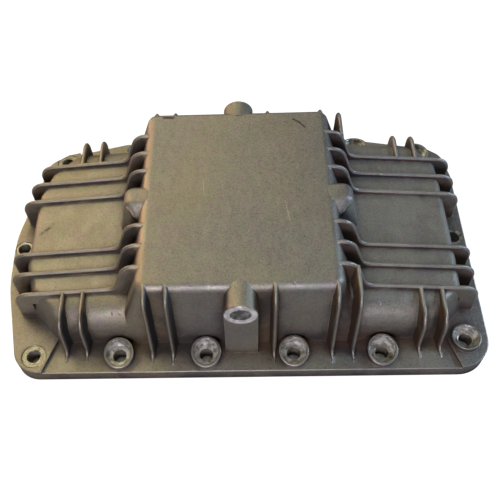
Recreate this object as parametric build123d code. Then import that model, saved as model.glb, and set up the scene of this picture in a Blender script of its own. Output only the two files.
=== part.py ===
from build123d import *
import os
from math import tan, radians, hypot, atan2, sin, degrees

os.makedirs("parts", exist_ok=True)

# Cast oil pan, mating face on z = 0, sump upwards, X along the length, front towards -Y. Millimetres.

# overall sizes
length = 410.0            # flange end to end
depth = 253.5             # flange front to back
sump_x = 1.5              # sump centre to the right of the flange centre
flange_t = 12.0           # flange thickness between the bolts
end_pad = 2.5             # extra thickness of the two flange ends
wall = 5.0                # casting wall

# deep centre box
box_h = 88.0              # height of the sump top over the mating face
box_w = 158.0             # width of the sump top
box_d = 186.5             # depth of the sump top
side_draft = 19.0         # slope of the two side walls, degrees off vertical
front_draft = 5.0         # slope of the front and rear walls
corner_r = 9.0            # upright corners of the box
top_r = 7.5               # edge round of the sump top

# shallow wings
wing_h = 53.0             # wing top where it leaves the box
wing_fall = 0.09          # drop of the wing top per mm towards the ends
wing_in = 11.5            # wing end wall, set in from the right flange end
wing_draft = 14.0         # slope of the end walls
corner_cut = (38.0, 30.0) # left and right wing, corners of the end cut back this far along X
cut_y = 27.0              # and this far in from the front and rear
end_slant = (10.0, 1.5)   # left and right wing, end wall falls back by this at the cut corners
rear_in = (5.5, 2.0)      # left and right wing, set in from the rear wall of the box
shoulder_r = 21.0         # long front and rear shoulders
shoulder_lean = 0.09      # lean of the walls below them
end_r = 7.0               # round over the end walls

# ribs along the wings and up the box sides
rib_first = 28.8          # first rib off the middle of the ribbed field
rib_pitch = 20.2
rib_mid = -2.75           # middle of the ribbed field
rib_rise = 4.6            # rib crest over the wing top
rib_out = 12.0            # rib crest over the box side wall
rib_toe = 5.0             # rib end over the wing end wall
rib_w = 3.8               # width of a rib
rib_flare = 0.0           # its sides, degrees off upright
crest_flat = 1.2          # flat left on rib and fin crests
crest_low = 1.3           # their edges are broken this far down
bend_r = 14.6             # crest bend at the sump top and at the rib ends
foot_r = 9.0              # hollow bend at the rib foot
ridge_d = 14.2            # depth of ribs and fins below their crest

# upright fins on the front and rear walls
fin_front = 12.0          # fin crest over the front wall
fin_rear = 6.5            # fin crest over the rear wall
fin_w = 3.4               # width of a fin at its crest
fin_flare = 9.0           # its sides, degrees off upright
fin_foot_r = 7.0          # hollow bend at the fin foot
fin_foot = fin_foot_r + 1.2   # the foot runs this far out over the flange

# bolts
bolt_d = 11.0
bolt_pitch = 72.0
bolt_end = 34.0           # first bolt of the rows to the left flange end
bolt_inset = 14.5         # row to flange edge
spot_d = 20.5             # machined seat
end_spot_d = 16.0         # machined seat of the two end bolts
spot_z = 13.0             # seat height over the mating face
boss_r = 13.0
boss_top = 23.0           # boss height against the wall
boss_low = 15.5           # boss height at the flange edge

# drain
drain_x = 1.0
drain_z = 75.5
drain_bore = 16.5         # core of the M18 x 1.5 thread
drain_ring = 26.5
drain_out = 17.5          # sealing face in front of the sump top
rear_out = 11.2           # plain boss behind the sump top


def bends(points):
    """Start, middle and end of the round at each (u, v, radius) corner of a closed outline."""
    found = []
    for i, (bx, by, r) in enumerate(points):
        (ax, ay, _), (cx, cy, _) = points[i - 1], points[(i + 1) % len(points)]
        ux, uy, vx, vy = ax - bx, ay - by, cx - bx, cy - by
        lu, lv = hypot(ux, uy), hypot(vx, vy)
        ux, uy, vx, vy = ux / lu, uy / lu, vx / lv, vy / lv
        half = 0.5 * abs(atan2(ux * vy - uy * vx, ux * vx + uy * vy))
        if r <= 0:
            found.append(((bx, by), None, (bx, by)))
            continue
        t = r / tan(half)
        mx, my = ux + vx, uy + vy
        reach = (r / sin(half) - r) / hypot(mx, my)
        middle = (bx + mx * reach, by + my * reach)
        found.append(((bx + ux * t, by + uy * t), middle, (bx + vx * t, by + vy * t)))
    return found


def rounded(points, plane):
    """Closed face from (u, v, radius) corners."""
    found = bends(points)
    edges = []
    for i, (enter, middle, leave) in enumerate(found):
        if middle is not None:
            edges.append(ThreePointArc(enter, middle, leave))
        edges.append(Line(leave, found[(i + 1) % len(found)][0]))
    return plane * Face(Wire(edges))


def ridge(points, plane, width, flare):
    """Rib along an open crest line of (u, v, radius) corners: broken crest edges, flaring sides."""
    foot = width / 2 + ridge_d * tan(radians(flare))
    half = [(crest_flat / 2, 0, 0), (width / 2, crest_low, 0), (foot, ridge_d, 0)]
    section = [(-a, b, r) for a, b, r in reversed(half)] + half

    def section_at(u, v, du, dv):
        return rounded(section, Plane(origin=(u, v, 0), x_dir=(0, 0, 1), z_dir=(du, dv, 0)))

    pieces = []
    u, v, _ = points[0]
    for i in range(1, len(points)):
        pu, pv, r = points[i]
        run = hypot(pu - u, pv - v)
        du, dv = (pu - u) / run, (pv - v) / run
        t, turn = 0.0, 0.0
        if i < len(points) - 1:
            nu, nv = points[i + 1][0] - pu, points[i + 1][1] - pv
            turn = atan2(du * nv - dv * nu, du * nu + dv * nv)
            t = r * tan(abs(turn) / 2)
        pieces.append(extrude(section_at(u, v, du, dv), amount=run - t, dir=(du, dv, 0)))
        if turn:
            s = 1 if turn > 0 else -1
            eu, ev = pu - du * t, pv - dv * t
            centre = (eu - s * dv * r, ev + s * du * r, 0)
            pieces.append(revolve(section_at(eu, ev, du, dv), Axis(centre, (0, 0, s)), degrees(abs(turn))))
            n = hypot(nu, nv)
            u, v = pu + nu / n * t, pv + nv / n * t
    return plane * (pieces[0] + pieces[1:])


half_l, half_d = length / 2, depth / 2
below, clear = 30.0, 60.0           # how far forms and cutters run past what they shape
left, right = half_l + sump_x, half_l - sump_x      # flange ends seen from the sump centre


# ---- flange plate ----
def flange_outline():
    front_side = [(-left + 21, -half_d, 22), (right, -half_d, 26)]
    right_rear = [(right, half_d - 53, 20), (right - 5, half_d - 27, 16), (right - 22, half_d - 14.3, 10)]
    rear_side = [(right - 94, half_d, 30), (-left + 94, half_d, 30)]
    left_rear = [(-left + 33.5, half_d - 15.5, 12), (-left + 18.5, half_d - 27, 8)]
    left_bow = [(-left, 0.09 * half_d, 100), (-left, -0.06 * half_d, 100), (-left + 1.7, -0.34 * half_d, 150)]
    return rounded(front_side + right_rear + rear_side + left_rear + left_bow, Plane.XY)


# ---- outer forms, and drawn in by the wall their hollows ----
def trapezoid(plane, half_top, draft, high, run):
    """Face with leaning sides, half_top wide at height high, run deep."""
    half_low, low = half_top + run * tan(radians(draft)), high - run
    return rounded([(-half_low, low, 0), (half_low, low, 0), (half_top, high, 0), (-half_top, high, 0)], plane)


def box_form(skin):
    """Centre box, drawn in by the skin thickness."""
    h = box_h - skin
    wt, dt = box_w / 2 - skin, box_d / 2 - skin
    lift = h + 2
    body = extrude(trapezoid(Plane.XZ, wt, side_draft, h, lift), amount=box_d, both=True)
    body &= extrude(trapezoid(Plane.YZ, dt, front_draft, h, lift), amount=box_w, both=True)
    upright = [e for e in body.edges() if abs(e.center().Z - (h - 2) / 2) < 1]
    body = fillet(upright, corner_r)
    rim = [e for e in body.edges() if e.center().Z > h - 0.01]
    return fillet(rim, top_r)


def wing_plan(side, skin):
    """End, and half depths to front and rear, of a wing on the mating face."""
    base = box_d / 2 + (box_h - flange_t) * tan(radians(front_draft)) + flange_t * shoulder_lean - skin
    return right - wing_in - skin, base, base - rear_in[side > 0]


def wing_form(side, skin):
    """One wing: sloping top, rounded long shoulders, leaning end wall with cut corners."""
    end, front, rear = wing_plan(side, skin)
    cut, slant = corner_cut[side > 0], end_slant[side > 0]
    top = wing_h - skin
    lean = shoulder_lean * top
    sunk = 15                                       # the wing starts this far inside the box
    start = box_w / 2 - sunk
    along = (side, 0, -wing_fall)
    plane = Plane(origin=(side * start, 0, sunk * wing_fall), x_dir=(0, side, 0), z_dir=along)
    section = [(-front, -below, 0), (rear, -below, 0),
               (rear - lean, top, shoulder_r), (-front + lean, top, shoulder_r)]
    body = extrude(rounded([(side * y, z, r) for y, z, r in section], plane), amount=half_l - start, dir=along)
    plan = [(0, -front - clear, 0), (end - cut - clear, -front - clear, 0), (end - slant, -front + cut_y, 6),
            (end, -0.4 * front, 20), (end, 0.4 * rear, 20), (end - slant, rear - cut_y, 6),
            (end - cut - clear, rear + clear, 0), (0, rear + clear, 0)]
    plan = [(side * x, y, r) for x, y, r in plan][::side]
    trim = extrude(rounded(plan, Plane.XY), amount=box_h, taper=wing_draft)
    low = Pos(side * half_l / 2, 0, -below / 2) * Box(half_l * 1.2, 3 * half_d, below)
    body = body & (trim + low)
    brow = [e for e in body.edges() if e.center().Z > 2 and abs(e.center().X) > end - cut - 22
            and abs(e.tangent_at(0.5).X) < 0.93]
    return fillet(brow, end_r)


def wing_top(x):
    return wing_h - wing_fall * (abs(x) - box_w / 2)


def long_rib(side, row):
    """Rib over one wing: level with the sump top, down the box side, along the wing, over its end."""
    t = tan(radians(side_draft))
    top = box_h - 0.3
    out = box_w / 2 + rib_out
    foot_z = (wing_h + rib_rise - wing_fall * (out - box_w / 2 + box_h * t)) / (1 - wing_fall * t)
    foot_x = out + (box_h - foot_z) * t
    end, front, rear = wing_plan(side, 0)
    reach = rear if row > 0 else front
    back = end_slant[side > 0] * max(0, abs(row) - 0.4 * reach) / (0.6 * reach - cut_y)
    toe = end - back + rib_toe
    pts = [(box_w / 2 - 12, top, 0), (out, top, bend_r), (foot_x, foot_z, foot_r),
           (toe, wing_top(toe) + rib_rise, bend_r), (toe, flange_t / 2, 0)]
    plane = Plane(origin=(0, rib_mid + row, 0), x_dir=(side, 0, 0), z_dir=(0, -side, 0))
    return ridge(pts, plane, rib_w, rib_flare)


def upright_fin(x, side, start, top):
    """Fin on the front (-1) or rear (+1) wall, from start to its foot on the flange."""
    crest = box_d / 2 + (fin_front if side < 0 else fin_rear)
    root = crest + (top - flange_t) * tan(radians(front_draft))
    pts = [(start, top, 0), (crest, top, bend_r), (root, flange_t + 1, fin_foot_r),
           (root + fin_foot, flange_t + 0.6, 0)]
    return ridge(pts, Plane(origin=(x, 0, 0), x_dir=(0, side, 0), z_dir=(side, 0, 0)), fin_w, fin_flare)


def bolt_boss(x, y, high):
    """Round pad against the wall, its top falling towards the flange edge."""
    s = 1 if y > 0 else -1
    pad = Pos(x, y) * extrude(Circle(boss_r), amount=high, taper=2)
    outer, inner = s * (abs(y) + boss_r + 1), s * (abs(y) - boss_r - 1)
    rise = boss_low + (high - boss_low) * (1 + 1 / boss_r)
    corners = [(outer, -1, 0), (outer, boss_low, 0), (inner, rise, 0), (inner, -1, 0)]
    wedge = rounded(corners, Plane.YZ.offset(x - 2 * boss_r))
    return pad & extrude(wedge, amount=4 * boss_r, dir=(1, 0, 0))


row_y = half_d - bolt_inset
row_x = [-left + bolt_end + i * bolt_pitch for i in range(5)]
wall_bolts = [(x, s * row_y) for x in row_x[1:] for s in (-1, 1)]
left_corner = [(row_x[0], -row_y), (row_x[0] + 1.5, half_d - 25.5)]
right_corner = [(right - 18.5, -half_d + 25), (right - 29.5, half_d - 26)]
end_bolts = [(-left + 8.5, rib_mid - 0.4), (right - 9.9, rib_mid + 4.4)]

# outer body: the flange is thick at its ends and thinner between them
flange = extrude(flange_outline(), amount=flange_t + end_pad)
wall_foot = wing_plan(1, 0)[1] - 6.5
over = half_d + 5
thin = [(-left + 53.5, -wall_foot), (-left + 40.5, -over), (right - 23.5, -over), (right - 35.5, -wall_foot),
        (right - 35.5, wall_foot), (right - 25.5, over), (-left + 40.5, over), (-left + 53.5, wall_foot)]
flange -= Pos(0, 0, flange_t) * extrude(rounded([(x, y, 0) for x, y in thin], Plane.XY), amount=end_pad + 5)
body = flange + box_form(0) + wing_form(1, 0) + wing_form(-1, 0)

rib_last = rib_first + 2 * rib_pitch
rib_rows = [s * (rib_first + i * rib_pitch) for i in range(3) for s in (-1, 1)]
ribs = [long_rib(side, row) for side in (-1, 1) for row in rib_rows]
edge = box_w / 2
fins = []
for s in (-1, 1):
    start = rib_last + s * rib_mid
    fins += [upright_fin(x, s, box_d / 2 - 16, box_h - 0.3) for x in (-edge + 6, -edge + 23, 27.5, edge - 4)]
    fins.append(upright_fin(edge + 13, s, start, box_h - 4.5))
    for x in (-left + 61.5, -left + 78.5, right - 57.5, right - 40.5):
        fins.append(upright_fin(x, s, start, wing_top(x) + rib_rise))
bosses = [bolt_boss(x, y, boss_top) for x, y in wall_bolts]
bosses += [Pos(x, y) * extrude(Circle(boss_r - 0.5), amount=boss_low + 3.5, taper=2) for x, y in right_corner]

# drain boss in front, plain boss behind
ring_r = drain_ring / 2
for s, out in ((-1, drain_out - 0.8), (1, rear_out)):
    run = out + 6
    mid = s * (box_d / 2 + out - run / 2)
    bosses.append(Pos(drain_x, mid, drain_z / 2) * Box(drain_ring, run, drain_z)
                  + Pos(drain_x, mid, drain_z) * Rot(90, 0, 0) * Cylinder(ring_r, run))
drain_face = box_d / 2 + drain_out
bosses.append(Pos(drain_x, -drain_face + 2, drain_z) * Rot(90, 0, 0) * Cylinder(ring_r - 0.4, 4))
body = body + ribs + fins + bosses

# hollow inside, open at the mating face
hollow = box_form(wall) + wing_form(1, wall) + wing_form(-1, wall)
for x, y in end_bolts:
    hollow -= Pos(x, y, 20) * Cylinder(end_spot_d / 2 + wall, 100)
body = body - [hollow, Pos(0, 0, -50) * Box(2 * length, 2 * depth, 100)]

# machining
tools = []
for x, y in wall_bolts + left_corner + right_corner + end_bolts:
    seat = spot_z if (x, y) in wall_bolts + right_corner else flange_t + end_pad - 0.5
    tools.append(Pos(x, y, seat + 30) * Cylinder((end_spot_d if (x, y) in end_bolts else spot_d) / 2, 60))
    tools.append(Pos(x, y, 0) * Cylinder(bolt_d / 2, 4 * flange_t))
bore_to = box_d / 2 - wall - 1
tools.append(Pos(drain_x, -(drain_face + 5 + bore_to) / 2, drain_z) * Rot(90, 0, 0)
             * Cylinder(drain_bore / 2, drain_face + 5 - bore_to))
body = body - tools
oil_pan = Pos(sump_x, 0, 0) * body.solids()[0]
export_step(oil_pan, "parts/oil_pan.step")
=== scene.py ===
"""Looks of the cast oil pan: metal finish, pads and fillets of its side walls, floor, lamps and camera.

Metres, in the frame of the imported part: X along the length, front towards -Y, mating face on z = 0.
"""
import math

import bpy
from mathutils import Matrix, Vector


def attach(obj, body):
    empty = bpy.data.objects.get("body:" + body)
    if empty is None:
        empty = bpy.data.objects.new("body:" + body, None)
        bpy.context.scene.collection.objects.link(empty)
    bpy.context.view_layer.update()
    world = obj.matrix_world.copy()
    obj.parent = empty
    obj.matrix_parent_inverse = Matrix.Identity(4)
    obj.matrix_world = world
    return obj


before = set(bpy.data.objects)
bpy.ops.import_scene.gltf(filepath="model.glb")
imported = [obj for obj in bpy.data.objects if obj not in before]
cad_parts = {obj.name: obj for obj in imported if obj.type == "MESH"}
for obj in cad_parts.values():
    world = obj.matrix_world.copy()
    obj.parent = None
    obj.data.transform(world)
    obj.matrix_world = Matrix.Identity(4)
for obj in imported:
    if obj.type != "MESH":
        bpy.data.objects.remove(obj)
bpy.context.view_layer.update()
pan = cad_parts["oil_pan"]

# bolt axes in plan
ROW_X, ROW_Y = (-0.099, -0.027, 0.045, 0.117), 0.11225
BOLTS = [(x, s * ROW_Y) for x in ROW_X for s in (-1, 1)]
BOLTS += [(-0.171, -0.11225), (-0.1695, 0.10125), (0.1865, -0.10175), (0.1755, 0.10075)]
END_BOLTS = [(-0.1965, -0.00315), (0.1951, 0.00165)]
BOLT_R = 0.0055
SEAT_R, END_SEAT_R = 0.01025, 0.008
# drain boss
DRAIN_X, DRAIN_Z = 0.0025, 0.0755
DRAIN_FACE = 0.11075           # its sealing face lies this far in front
RING_R, BORE_R = 0.01325, 0.00825
# where masks begin and are full
SEATS_BELOW, HOLES_BELOW = (0.026, 0.0245), (0.0148, 0.0142)
MATING_BELOW = (0.0002, 0.00005)
FACE_BEFORE, BORE_BEFORE = (-DRAIN_FACE + 0.0008, -DRAIN_FACE + 0.0003), (-0.075, -0.078)
SUMP_TOP_ABOVE = (0.0868, 0.0874)
RIGHT_TO_LEFT = (0.16, -0.17)
FRONT_FINS = (-0.086, -0.093)
SEAT_EDGE, HOLE_EDGE = 0.0004, 0.0003
# centre box, wings and the field of ribs
SUMP_X = 0.0015                # middle of the box
BOX_HALF, BOX_TOP = 0.079, 0.088
SIDE_LEAN = math.radians(19)
WALL = 0.005
WING_TOP, WING_FALL = 0.053, 0.09
RIB_MID, RIB_LAST = -0.00275, 0.0692


def rgb(r, g, b):
    return (r, g, b, 1.0)


# bare metal and its oxidised tones, the first two painted light: golden and brighter on the left, grey
# and darker on the right
SHADED_RIGHT_METAL, LIT_LEFT_METAL = rgb(0.228, 0.240, 0.262), rgb(0.388, 0.318, 0.192)
OLIVE_PATCH, TAN_PATCH = rgb(0.330, 0.322, 0.235), rgb(0.325, 0.272, 0.242)
GREEN_BLOT, MAUVE_BLOT = rgb(0.290, 0.330, 0.215), rgb(0.310, 0.238, 0.255)
PALE_STREAK = rgb(0.44, 0.41, 0.35)
PALE_GRAIN, DARK_GRAIN = rgb(0.46, 0.44, 0.40), rgb(0.12, 0.11, 0.10)
# darkening: a darker rear right top, painted shade at the low right end, in recesses, on steep walls and
# on fin sides, with a dark coating, and a brown smudge
DARKER_REAR_RIGHT_TOP = rgb(0.17, 0.155, 0.145)
RIGHT_END_SHADE = rgb(0.11, 0.11, 0.12)
SHADE_FILM_LEFT = rgb(0.040, 0.030, 0.018), rgb(0.100, 0.062, 0.026)
SHADE_FILM_RIGHT = rgb(0.022, 0.018, 0.024), rgb(0.092, 0.040, 0.024)
FIN_SHADE_LEFT, FIN_SHADE_RIGHT = rgb(0.060, 0.060, 0.072), rgb(0.085, 0.042, 0.022)
SMUDGE_BROWN = rgb(0.10, 0.075, 0.04)
# worn edges with painted highlights, scratched and machined metal, and painted shade in the holes
COOL_EDGE_HIGHLIGHT, GOLDEN_EDGE_HIGHLIGHT = rgb(0.60, 0.60, 0.62), rgb(0.66, 0.56, 0.38)
LEFT_EDGE_HIGHLIGHT = rgb(0.56, 0.44, 0.31)
SCRATCH_DARK, SCRATCH_PALE = rgb(0.05, 0.045, 0.04), rgb(0.58, 0.56, 0.50)
TURNED = rgb(0.30, 0.29, 0.26), rgb(0.80, 0.79, 0.75)
MILLED = rgb(0.46, 0.45, 0.42), rgb(0.56, 0.55, 0.52)
RING_METAL = rgb(0.62, 0.61, 0.57), rgb(0.95, 0.94, 0.90)
DULL_SEAT = rgb(0.21, 0.19, 0.13)
HOLE_SHADE, BORE_SHADE = rgb(0.20, 0.17, 0.13), rgb(0.22, 0.21, 0.2)

# sizes of the noises, cells a metre
BROAD, PATCH, BLOT, WAVE = 9.0, 34.0, 120.0, 130.0
STREAK, GLINT_MOTTLE_SCALE, PIT, GRAIN = 190.0, 230.0, 260.0, 720.0
# relief, metres, and tool marks, radians a metre off the hole axis
GRAIN_HIGH, WAVE_HIGH, PIT_HIGH, TOOL_HIGH = 0.00022, 0.00045, -0.00035, 0.000006
SEAT_RINGS, FACE_RINGS = 16000.0, 14000.0

# marks in plan: start, end, half width
DARK_SCRATCHES = [((0.0512, 0.0811), (0.0563, 0.0772), 0.0013),
                  ((0.0563, 0.0772), (0.0612, 0.0709), 0.0012),
                  ((-0.0640, 0.0866), (-0.0560, 0.0862), 0.0020)]
PALE_SCRATCHES = [((0.0398, -0.0106), (0.0429, -0.0311), 0.0007),
                  ((-0.0276, 0.0127), (-0.0265, -0.0035), 0.0006)]
SMUDGE = ((-0.1724, -0.0082), (-0.1654, -0.0018), 0.0022)


# ---------------------------------------------------------------- materials
class Net:
    """Short calls that add and link nodes of one material."""

    def __init__(self, name):
        self.mat = bpy.data.materials.new(name)
        self.mat.use_nodes = True
        self.tree = self.mat.node_tree
        self.tree.nodes.clear()

    def put(self, kind, **settings):
        node = self.tree.nodes.new(kind)
        for key, value in settings.items():
            setattr(node, key, value)
        return node

    def feed(self, socket, value):
        if isinstance(value, bpy.types.NodeSocket):
            self.tree.links.new(value, socket)
        else:
            socket.default_value = value

    def math(self, op, a, b=0.0, c=0.0, clamp=False):
        node = self.put("ShaderNodeMath", operation=op, use_clamp=clamp)
        for i, v in enumerate((a, b, c)):
            self.feed(node.inputs[i], v)
        return node.outputs[0]

    def times(self, a, b):
        return self.math("MULTIPLY", a, b)

    def ramp(self, value, low, high, to_low=0.0, to_high=1.0):
        """Smooth step from to_low at low to to_high at high."""
        node = self.put("ShaderNodeMapRange", interpolation_type="SMOOTHSTEP")
        for i, v in enumerate((value, low, high, to_low, to_high)):
            self.feed(node.inputs[i], v)
        return node.outputs[0]

    def mix(self, share, a, b):
        """Colour a, with this share of colour b."""
        node = self.put("ShaderNodeMix", data_type="RGBA", blend_type="MIX", clamp_factor=True)
        self.feed(node.inputs[0], share)
        self.feed(node.inputs[6], a)
        self.feed(node.inputs[7], b)
        return node.outputs[2]

    def mix_value(self, share, a, b):
        node = self.put("ShaderNodeMix", data_type="FLOAT")
        self.feed(node.inputs[0], share)
        self.feed(node.inputs[2], a)
        self.feed(node.inputs[3], b)
        return node.outputs[0]

    def noise(self, at, scale, detail=3.0, rough=0.5, distortion=0.0):
        node = self.put("ShaderNodeTexNoise")
        self.feed(node.inputs["Vector"], at)
        self.feed(node.inputs["Scale"], scale)
        self.feed(node.inputs["Detail"], detail)
        self.feed(node.inputs["Roughness"], rough)
        self.feed(node.inputs["Distortion"], distortion)
        return node.outputs["Fac"]

    def vmath(self, op, a, b=(0, 0, 0)):
        node = self.put("ShaderNodeVectorMath", operation=op)
        self.feed(node.inputs[0], a)
        self.feed(node.inputs[1], b)
        return node.outputs["Value"] if op in ("DISTANCE", "DOT_PRODUCT") else node.outputs[0]

    def parts(self, vector):
        """The x, y and z of a vector."""
        node = self.put("ShaderNodeSeparateXYZ")
        self.feed(node.inputs[0], vector)
        return node.outputs

    def nearest(self, at, places):
        """Distance in plan to the nearest of some upright axes."""
        found = None
        for px, py in places:
            d = self.vmath("DISTANCE", at, (px, py, 0))
            found = d if found is None else self.math("MINIMUM", found, d)
        return found

    def within(self, distance, radius, soft=HOLE_EDGE):
        """1 inside the radius, 0 outside, with a narrow soft edge."""
        return self.ramp(distance, radius + soft, radius + 0.0001)

    def stroke(self, at, start, end, width):
        """Mask of a straight mark between two places in plan, with soft ends."""
        run = Vector((*end, 0)) - Vector((*start, 0))
        away = self.vmath("SUBTRACT", at, (*start, 0))
        share = self.vmath("DOT_PRODUCT", away, run)
        share = self.math("MULTIPLY", share, 1 / run.length_squared, clamp=True)
        scaled = self.put("ShaderNodeVectorMath", operation="SCALE")
        scaled.inputs[0].default_value = run
        self.feed(scaled.inputs["Scale"], share)
        return self.ramp(self.vmath("DISTANCE", away, scaled.outputs[0]), width, 0.3 * width)

    def end(self, surface):
        out = self.put("ShaderNodeOutputMaterial")
        self.feed(out.inputs["Surface"], surface)


class Casting(Net):
    """Sand-cast metal: oxidised tone under a painted light gradient, grain, painted shade with a dark
    coating, marks, worn edges with painted highlights, machined faces with painted glints, and painted
    shade in the holes.
    """

    def __init__(self):
        super().__init__("casting")
        self.read_place()
        self.find_machined()
        self.tone_and_painted_light()
        self.shade_and_film()
        self.marks()
        self.edge_wear_and_painted_highlights()
        self.machined_faces()
        self.finish()

    def tint(self, share, colour):
        """Mix this share of a colour into the finish so far."""
        self.colour = self.mix(share, self.colour, colour)

    def read_place(self):
        self.at = self.put("ShaderNodeTexCoord").outputs["Object"]
        self.x, self.y, self.z = self.parts(self.at)
        self.flat = self.vmath("MULTIPLY", self.at, (1, 1, 0))
        self.normal = self.put("ShaderNodeNewGeometry").outputs["Normal"]
        self.nx, _, self.nz = self.parts(self.normal)
        self.patch = self.noise(self.at, PATCH, 4.0, 0.6, 0.6)
        self.grain = self.noise(self.at, GRAIN, 4.0, 0.62)

    def find_machined(self):
        """Masks of the faces that a cutter has touched."""
        near_row = self.nearest(self.flat, BOLTS)
        near_end = self.nearest(self.flat, END_BOLTS)
        self.near = self.math("MINIMUM", near_row, near_end)
        side = self.vmath("MULTIPLY", self.at, (1, 0, 1))
        self.drain = self.vmath("DISTANCE", side, (DRAIN_X, 0, DRAIN_Z))
        row_seat = self.within(near_row, SEAT_R, SEAT_EDGE)
        seat = self.math("MAXIMUM", row_seat, self.within(near_end, END_SEAT_R, SEAT_EDGE))
        seat = self.times(seat, self.ramp(self.z, *SEATS_BELOW))
        self.hole = self.times(self.within(self.near, BOLT_R), self.ramp(self.z, *HOLES_BELOW))
        near_ring = self.ramp(self.drain, RING_R + 0.003, RING_R)
        self.ring = self.times(self.ramp(self.y, *FACE_BEFORE), near_ring)
        self.bore = self.times(self.ramp(self.y, *BORE_BEFORE), self.within(self.drain, BORE_R))
        self.mating = self.ramp(self.z, *MATING_BELOW)
        self.cut = self.math("MAXIMUM", self.math("MAXIMUM", seat, self.ring),
                             self.math("MAXIMUM", self.bore, self.mating))

    def tone_and_painted_light(self):
        """Painted light, golden and brighter on the left and grey and darker on the right, as the lamps
        fall, with soft blotches, streaks and mould grain.
        """
        broad = self.noise(self.at, BROAD, 2.0)
        streak = self.noise(self.vmath("MULTIPLY", self.at, (1.0, 0.22, 1.0)), STREAK, 3.0, 0.6)
        blot = self.noise(self.at, BLOT, 3.0, 0.55, 0.4)
        drift = self.ramp(broad, 0.35, 0.68, -0.35, 0.35)
        # painted light: 1 on the golden, brighter left, 0 on the grey, darker right, with a broad drift
        self.lit_left = self.math("ADD", self.ramp(self.x, *RIGHT_TO_LEFT), drift, clamp=True)
        self.colour = self.mix(self.lit_left, SHADED_RIGHT_METAL, LIT_LEFT_METAL)
        self.tint(self.ramp(self.patch, 0.42, 0.62, 0.0, 0.25), OLIVE_PATCH)
        self.tint(self.ramp(self.patch, 0.52, 0.38, 0.0, 0.25), TAN_PATCH)
        self.tint(self.ramp(blot, 0.50, 0.64, 0.0, 0.45), GREEN_BLOT)
        self.tint(self.ramp(blot, 0.50, 0.38, 0.0, 0.45), MAUVE_BLOT)
        self.tint(self.ramp(streak, 0.38, 0.66, 0.0, 0.22), PALE_STREAK)

        # darker towards the rear right, high up
        rear_right = self.math("ADD", self.x, self.times(self.y, 0.8))
        high_up = self.ramp(self.z, 0.06, 0.085)
        self.tint(self.times(self.ramp(rear_right, 0.0, 0.15, 0.0, 0.55), high_up), DARKER_REAR_RIGHT_TOP)
        # painted shade low on the right end, where the end wall and flange face away from the light
        right_end_shade = self.times(self.ramp(self.x, 0.155, 0.190), self.ramp(self.z, 0.030, 0.018))
        self.tint(self.times(right_end_shade, self.ramp(self.patch, 0.35, 0.6, 0.30, 0.60)), RIGHT_END_SHADE)

        self.tint(self.ramp(self.grain, 0.30, 0.72, 0.0, 0.50), PALE_GRAIN)
        self.tint(self.ramp(self.grain, 0.44, 0.30, 0.0, 0.35), DARK_GRAIN)

    def shade_and_film(self):
        """Painted shade with a dark coating in recesses and on steep walls, and painted shade on the
        sides of the front fins.
        """
        around = self.put("ShaderNodeAmbientOcclusion", samples=8)
        self.feed(around.inputs["Distance"], 0.028)
        self.openness = around.outputs["AO"]
        # painted shade with a dark coating where the surface is hemmed in and on steep walls, golden
        # brown on the left, purple black on the right
        share = self.math("ADD", self.openness, self.ramp(self.patch, 0.3, 0.7, -0.08, 0.08))
        steep = self.ramp(self.math("ABSOLUTE", self.nz), 0.85, 0.40)
        steep_wall_shade = self.times(self.ramp(share, 0.84, 0.50), steep)
        self.shade_and_film_share = self.math("MAXIMUM", self.ramp(share, 0.84, 0.38), steep_wall_shade)
        change = self.ramp(self.patch, 0.40, 0.60)
        shade_film_colour = self.mix(self.lit_left, self.mix(change, *SHADE_FILM_RIGHT), self.mix(change, *SHADE_FILM_LEFT))
        self.tint(self.times(self.shade_and_film_share, 0.90), shade_film_colour)

        # painted shade on the sideways faces of the front fins
        sideways = self.ramp(self.math("ABSOLUTE", self.nx), 0.60, 0.88)
        shaded_fin_sides = self.times(sideways, self.ramp(self.y, *FRONT_FINS))
        fin_shade_colour = self.mix(self.ramp(self.x, -0.02, 0.02), FIN_SHADE_LEFT, FIN_SHADE_RIGHT)
        self.tint(self.times(shaded_fin_sides, self.ramp(self.patch, 0.30, 0.62, 0.55, 0.95)), fin_shade_colour)

    def marks(self):
        """Scratches on the sump top and a smudge on the left wing."""
        on_top = self.ramp(self.z, *SUMP_TOP_ABOVE)
        broken = self.ramp(self.grain, 0.34, 0.5, 0.45, 0.9)
        for scratch in DARK_SCRATCHES:
            mark = self.times(self.stroke(self.flat, *scratch), on_top)
            self.tint(self.times(mark, broken), SCRATCH_DARK)
        for scratch in PALE_SCRATCHES:
            mark = self.times(self.stroke(self.flat, *scratch), on_top)
            self.tint(self.times(mark, 0.45), SCRATCH_PALE)
        smudge = self.times(self.stroke(self.flat, *SMUDGE), self.ramp(self.grain, 0.40, 0.55))
        self.tint(self.times(smudge, 0.8), SMUDGE_BROWN)

    def edge_wear_and_painted_highlights(self):
        """Edges worn by handling with painted highlights along them, golden on the left and cool grey on
        the right, and a painted highlight stripe along the left edge of the sump top.
        """
        bevel = self.put("ShaderNodeBevel", samples=6)
        self.feed(bevel.inputs["Radius"], 0.0016)
        self.rounded = bevel.outputs["Normal"]
        turn = self.vmath("DOT_PRODUCT", self.rounded, self.normal)
        # painted highlight, partly wear, on convex edges found from the bevel normal
        edge = self.times(self.ramp(turn, 0.995, 0.90), self.ramp(self.openness, 0.45, 0.85))
        self.edge_wear_and_highlight = self.times(edge, self.ramp(self.patch, 0.30, 0.58, 0.40, 0.95))
        self.tint(self.edge_wear_and_highlight, self.mix(self.lit_left, COOL_EDGE_HIGHLIGHT, GOLDEN_EDGE_HIGHLIGHT))
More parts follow.
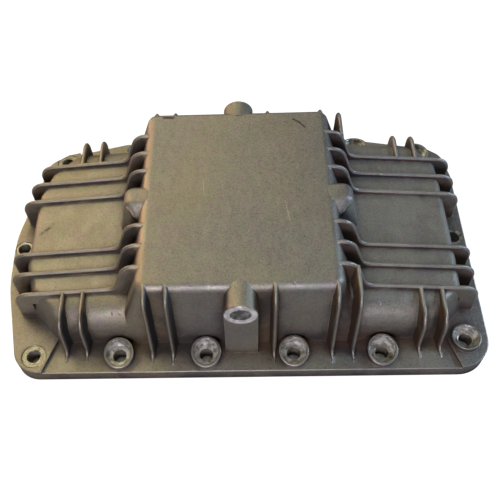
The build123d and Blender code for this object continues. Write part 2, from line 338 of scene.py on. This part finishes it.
        # painted highlight stripe along the left edge of the sump top
        highlight_stripe = self.times(self.ramp(self.x, -0.0690, -0.0760), self.ramp(self.x, -0.0830, -0.0790))
        highlight_stripe = self.times(highlight_stripe, self.ramp(self.z, 0.079, 0.086))
        self.tint(self.times(highlight_stripe, self.ramp(self.patch, 0.35, 0.6, 0.25, 0.65)), LEFT_EDGE_HIGHLIGHT)

    def machined_faces(self):
        """Turned seats mottled with painted glints, milled mating face, bright drain ring, painted shade
        on the hole walls and deep in the drain bore.
        """
        # painted glints: bright and dark mottling of the machined faces
        glint_mottle = self.ramp(self.noise(self.at, GLINT_MOTTLE_SCALE, 3.0, 0.5), 0.36, 0.64)
        seats = self.mix(glint_mottle, *TURNED)
        level = self.ramp(self.nz, 0.90, 0.97)
        seats = self.mix(self.times(level, self.ramp(self.x, -0.12, -0.15, 0.10, 0.80)), seats, DULL_SEAT)
        milled = self.mix(self.ramp(self.patch, 0.35, 0.65), *MILLED)
        bright = self.mix(self.ring, self.mix(self.mating, seats, milled), self.mix(glint_mottle, *RING_METAL))
        self.tint(self.cut, bright)
        # painted shade inside the bolt holes and deeper in the drain bore
        self.tint(self.times(self.hole, 0.75), HOLE_SHADE)
        self.tint(self.times(self.times(self.bore, self.ramp(self.y, -0.104, -0.094)), 0.6), BORE_SHADE)

    def finish(self):
        """Relief, gloss and metal of the surface."""
        pits = self.ramp(self.noise(self.at, PIT, 2.0, 0.5), 0.34, 0.22)
        waves = self.noise(self.at, WAVE, 3.0)
        cast = self.math("ADD", self.times(self.grain, GRAIN_HIGH), self.times(waves, WAVE_HIGH))
        cast = self.math("ADD", cast, self.times(pits, PIT_HIGH))
        rings = self.math("SINE", self.times(self.near, SEAT_RINGS))
        face_rings = self.math("SINE", self.times(self.drain, FACE_RINGS))
        tooled = self.times(self.math("ADD", rings, face_rings), TOOL_HIGH)
        bump = self.put("ShaderNodeBump")
        self.feed(bump.inputs["Strength"], 0.8)
        self.feed(bump.inputs["Distance"], 1.0)
        self.feed(bump.inputs["Height"], self.mix_value(self.cut, cast, tooled))
        self.feed(bump.inputs["Normal"], self.rounded)

        rough = self.ramp(self.patch, 0.3, 0.7, 0.46, 0.60)
        rough = self.math("ADD", rough, self.times(self.shade_and_film_share, 0.25))
        rough = self.math("SUBTRACT", rough, self.times(self.edge_wear_and_highlight, 0.12))
        metal = self.math("SUBTRACT", 0.85, self.times(self.shade_and_film_share, 0.5))
        metal = self.math("SUBTRACT", metal, self.times(self.ring, 0.55), clamp=True)
        shader = self.put("ShaderNodeBsdfPrincipled")
        self.feed(shader.inputs["Base Color"], self.colour)
        self.feed(shader.inputs["Roughness"], self.mix_value(self.cut, rough, 0.25))
        self.feed(shader.inputs["Metallic"], metal)
        self.feed(shader.inputs["Normal"], bump.outputs[0])
        self.end(shader.outputs[0])


def floor_material():
    """Pale floor that the camera sees as near white, with the pan's soft shadow kept, and a painted
    shadow where the pan covers the floor.
    """
    n = Net("floor")
    matt = n.put("ShaderNodeBsdfDiffuse")
    n.feed(matt.inputs["Color"], rgb(0.35, 0.35, 0.35))
    seen = n.put("ShaderNodeLightPath").outputs["Is Camera Ray"]
    above = n.put("ShaderNodeAmbientOcclusion", samples=8)
    n.feed(above.inputs["Distance"], 0.03)
    # painted shadow: the glow the camera sees fades where the pan covers the floor, so the floor seen
    # through a hole stays dark
    open_above = n.ramp(above.outputs["AO"], 0.16, 0.42)      # floor seen through a hole stays dark
    glow = n.put("ShaderNodeEmission")
    n.feed(glow.inputs["Color"], rgb(1, 1, 1))
    n.feed(glow.inputs["Strength"], n.times(n.times(seen, open_above), 0.9))
    both = n.put("ShaderNodeAddShader")
    n.feed(both.inputs[0], matt.outputs[0])
    n.feed(both.inputs[1], glow.outputs[0])
    n.end(both.outputs[0])
    return n.mat


casting = Casting().mat
for slot in pan.material_slots:
    slot.material = casting
if not pan.material_slots:
    pan.data.materials.append(casting)


# ---------------------------------------------------------------- side walls between the ribs
def grid_piece(name, rows):
    """Smooth surface through equal rows of points."""
    wide = len(rows[0])
    faces = [(i * wide + j, i * wide + j + 1, (i + 1) * wide + j + 1, (i + 1) * wide + j)
             for i in range(len(rows) - 1) for j in range(wide - 1)]
    mesh = bpy.data.meshes.new(name)
    mesh.from_pydata([p for row in rows for p in row], [], faces)
    mesh.polygons.foreach_set("use_smooth", [True] * len(faces))
    piece = bpy.data.objects.new(name, mesh)
    bpy.context.scene.collection.objects.link(piece)
    mesh.materials.append(casting)
    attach(piece, "root")


def side_fillet(name, side, radius=0.018, run_on=0.004, sunk=0.0004, steps=12):
    """Hollow round where a wing top meets the leaning side wall, running through the ribs."""
    t = math.tan(SIDE_LEAN)
    z = (WING_TOP - WING_FALL * t * BOX_TOP) / (1 - WING_FALL * t)
    corner = Vector((BOX_HALF + (BOX_TOP - z) * t, z))
    along = Vector((1, -WING_FALL)).normalized()
    rise = Vector((-math.sin(SIDE_LEAN), math.cos(SIDE_LEAN)))
    reach = radius / math.tan(along.angle(rise) / 2)
    foot, head = corner + along * reach, corner + rise * reach
    centre = foot + Vector((WING_FALL, 1)).normalized() * radius
    start, turn = foot - centre, (foot - centre).angle(head - centre)
    line = [foot + along * run_on - Vector((0, sunk))]
    for i in range(steps + 1):
        a = -turn * i / steps
        line.append(centre + Vector((start.x * math.cos(a) - start.y * math.sin(a),
                                     start.x * math.sin(a) + start.y * math.cos(a))))
    line.append(head + rise * run_on - Vector((sunk, 0)))
    ends = (RIB_MID - RIB_LAST, RIB_MID + RIB_LAST)
    grid_piece(name, [[(side * p.x + SUMP_X, y, p.y) for y in ends[::side]] for p in line])


def pad_flank(half, edge, flare, deep, steps=7):
    """Half section of a pad, flat crest over a rounded edge to the wall: (off middle, below crest)."""
    line = [(half - edge, 0.0)]
    for i in range(1, steps + 1):
        a = (math.pi / 2 - flare) * i / steps
        line.append((half - edge + edge * math.sin(a), edge * (1 - math.cos(a))))
    y, depth = line[-1]
    return line + [(y + (deep - depth) * math.tan(flare), deep)]


def side_pad(name, side, middle=-0.002, half=0.0110, edge=0.007, front_flare=math.radians(44),
             rear_flare=math.radians(18), out=0.0942, bend=0.0085, lean=math.radians(12),
             low=BOX_TOP - 0.0375, steps=10):
    """Broad squarish pad in the middle of a side wall, level with the sump top."""
    top = BOX_TOP - 0.00003            # just under the sump top, so that the two share no plane
    turn = math.pi / 2 - lean
    reach = bend * math.tan(turn / 2)
    crest = [((BOX_HALF - 0.0078, BOX_TOP - 0.0004), 0.0), ((BOX_HALF - 0.0062, top), 0.0)]
    for i in range(steps + 1):
        a = turn * i / steps
        crest.append(((out - reach + bend * math.sin(a), top - bend * (1 - math.cos(a))), a))
    crest.append(((out + (BOX_TOP - low) * math.tan(lean), low), turn))
    rows = []
    for (x, z), a in crest:
        # every flank ends in the middle of the casting's wall, so that none shows in the hollow
        dip, deep = 0.0, 0.6 * WALL
        if x > BOX_HALF:
            dip, t = max(a, math.radians(40)), math.tan(SIDE_LEAN)
            middle_of_wall = BOX_HALF - WALL / 2 + (BOX_TOP - WALL / 2 - z) * t
            deep = (x - middle_of_wall) / (math.sin(dip) + t * math.cos(dip))
        section = [(-y, d) for y, d in reversed(pad_flank(half, edge, front_flare, deep))]
        section += pad_flank(half, edge, rear_flare, deep)
        rows.append([(side * (x - d * math.sin(dip)) + SUMP_X, middle + y, z - d * math.cos(dip))
                     for y, d in section[::side]])
    grid_piece(name, rows)


for side, word in ((-1, "left"), (1, "right")):
    side_fillet(f"{word}_side_fillet", side)
    side_pad(f"{word}_side_pad", side)

# ---------------------------------------------------------------- floor
FLOOR_HALF = 6.0
mesh = bpy.data.meshes.new("floor")
corners = [(sx * FLOOR_HALF, sy * FLOOR_HALF, 0) for sx, sy in ((-1, -1), (1, -1), (1, 1), (-1, 1))]
mesh.from_pydata(corners, [], [(0, 1, 2, 3)])
floor = bpy.data.objects.new("floor", mesh)
floor.location.z = -0.0002             # just under the mating face
bpy.context.scene.collection.objects.link(floor)
floor.data.materials.append(floor_material())

# ---------------------------------------------------------------- light
AIM = Vector((0, 0, 0.04))
# name: place, width, height, watts, colour
LAMPS = {
    "key_left_back": ((-0.9, 0.75, 1.25), 0.9, 0.6, 6.8, (1.0, 0.90, 0.58)),
    "rear": ((0.0, 1.3, 0.9), 0.9, 0.5, 3.0, (1.0, 0.94, 0.76)),
    "overhead": ((-0.2, 0.1, 1.5), 0.9, 0.7, 2.6, (1.0, 0.90, 0.58)),
    "low_left": ((-1.1, 0.8, 0.35), 0.6, 0.3, 4.3, (1.0, 0.62, 0.45)),
    "side_right": ((1.3, 0.1, 0.7), 0.6, 0.5, 9.8, (0.58, 0.76, 1.0)),
    "front": ((-0.2, -1.4, 0.9), 0.8, 0.5, 14.6, (0.93, 0.89, 1.0)),
}
for name, (place, width, height, watts, colour) in LAMPS.items():
    data = bpy.data.lights.new(name, "AREA")
    data.shape = "RECTANGLE"
    data.size, data.size_y = width, height
    data.energy, data.color = watts, colour
    lamp = bpy.data.objects.new(name, data)
    lamp.location = place
    lamp.rotation_euler = (AIM - Vector(place)).to_track_quat("-Z", "Y").to_euler()
    bpy.context.scene.collection.objects.link(lamp)

# a faint cool surround lights the pan, and the camera sees white behind the floor
world = bpy.data.worlds.new("studio")
bpy.context.scene.world = world
world.use_nodes = True
nodes, links = world.node_tree.nodes, world.node_tree.links
nodes.clear()
path = nodes.new("ShaderNodeLightPath")
surround = nodes.new("ShaderNodeBackground")
surround.inputs["Color"].default_value = rgb(0.92, 0.95, 1.0)
surround.inputs["Strength"].default_value = 0.02
white = nodes.new("ShaderNodeBackground")
white.inputs["Color"].default_value = rgb(1, 1, 1)
white.inputs["Strength"].default_value = 1.0
choose = nodes.new("ShaderNodeMixShader")
end = nodes.new("ShaderNodeOutputWorld")
links.new(path.outputs["Is Camera Ray"], choose.inputs[0])
links.new(surround.outputs[0], choose.inputs[1])
links.new(white.outputs[0], choose.inputs[2])
links.new(choose.outputs[0], end.inputs["Surface"])

# ---------------------------------------------------------------- camera
PICTURE = 500                          # width and height of the picture, pixels
FOCAL = 692.494 / PICTURE              # focal length over picture width
CENTRE = (221.827, 258.979)            # where the view axis meets the picture, pixels
PLACE = Vector((0.0071463, -0.3654657, 0.5320493))
YAW, DOWN, ROLL = -0.062463, 0.978713, -0.070095
ahead = Vector((math.sin(YAW) * math.cos(DOWN), math.cos(YAW) * math.cos(DOWN), -math.sin(DOWN)))
level = Vector((math.cos(YAW), -math.sin(YAW), 0))
upright = level.cross(ahead)
right = math.cos(ROLL) * level + math.sin(ROLL) * upright
up = -math.sin(ROLL) * level + math.cos(ROLL) * upright
data = bpy.data.cameras.new("camera")
data.sensor_width = 36.0
data.lens = FOCAL * data.sensor_width
data.shift_x = (PICTURE / 2 - CENTRE[0]) / PICTURE
data.shift_y = (CENTRE[1] - PICTURE / 2) / PICTURE
data.clip_start, data.clip_end = 0.01, 50
camera = bpy.data.objects.new("camera", data)
camera.matrix_world = Matrix.Translation(PLACE) @ Matrix((right, up, -ahead)).transposed().to_4x4()
bpy.context.scene.collection.objects.link(camera)
bpy.context.scene.camera = camera

bpy.context.scene.view_settings.view_transform = "Standard"
